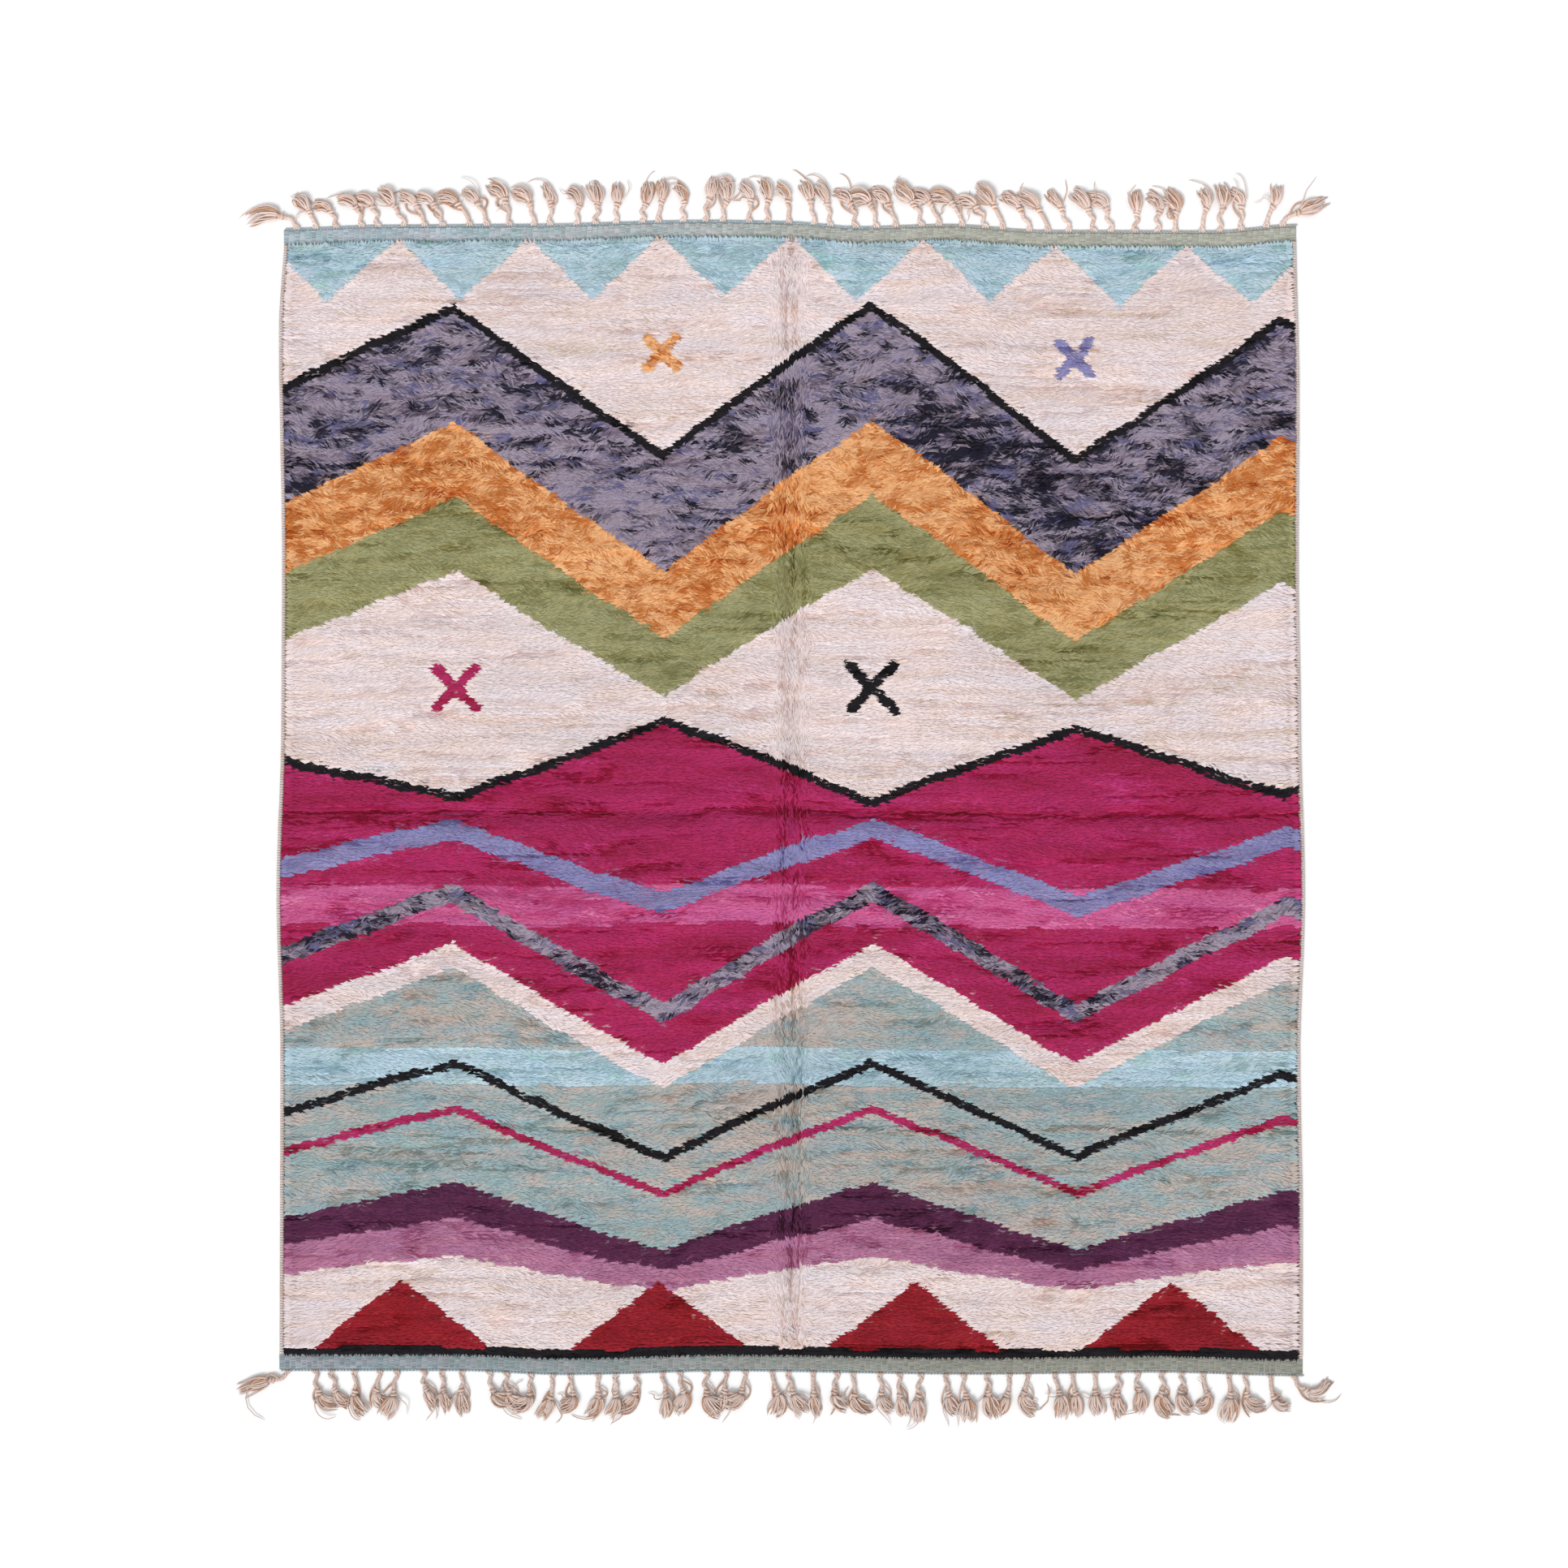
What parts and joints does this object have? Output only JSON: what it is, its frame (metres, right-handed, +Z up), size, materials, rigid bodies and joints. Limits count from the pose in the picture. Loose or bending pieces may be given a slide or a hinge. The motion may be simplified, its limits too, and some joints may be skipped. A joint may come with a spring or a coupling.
{
  "type": "berber rug",
  "caption": "Hand-knotted wool pile rug lying flat, with flat-woven end bands, overcast side edges and a knotted fringe at both ends.",
  "frame": {"origin": "on the floor, under the middle of the rug", "axes": "+Z up out of the pile; +Y along the rug towards its top end; +X across it, to the right when the top end points away"},
  "size_m": [2.6856, 3.1018, 0.0206],
  "materials": {
    "pile_wool": "matt hand-spun wool pile, ivory with dyed bands",
    "band_wool": "matt ribbed flat weave, pale aqua turning sage",
    "selvedge_wool": "matt overcast wool, tan and cream",
    "fringe_wool": "matt plied warp wool, undyed beige"
  },
  "bodies": {
    "root": {"pile_field": "pile_wool", "end_band_top": "band_wool", "end_band_bottom": "band_wool", "selvedge_left": "selvedge_wool", "selvedge_right": "selvedge_wool", "fringe_top": "fringe_wool", "fringe_bottom": "fringe_wool"}
  },
  "joints": []
}
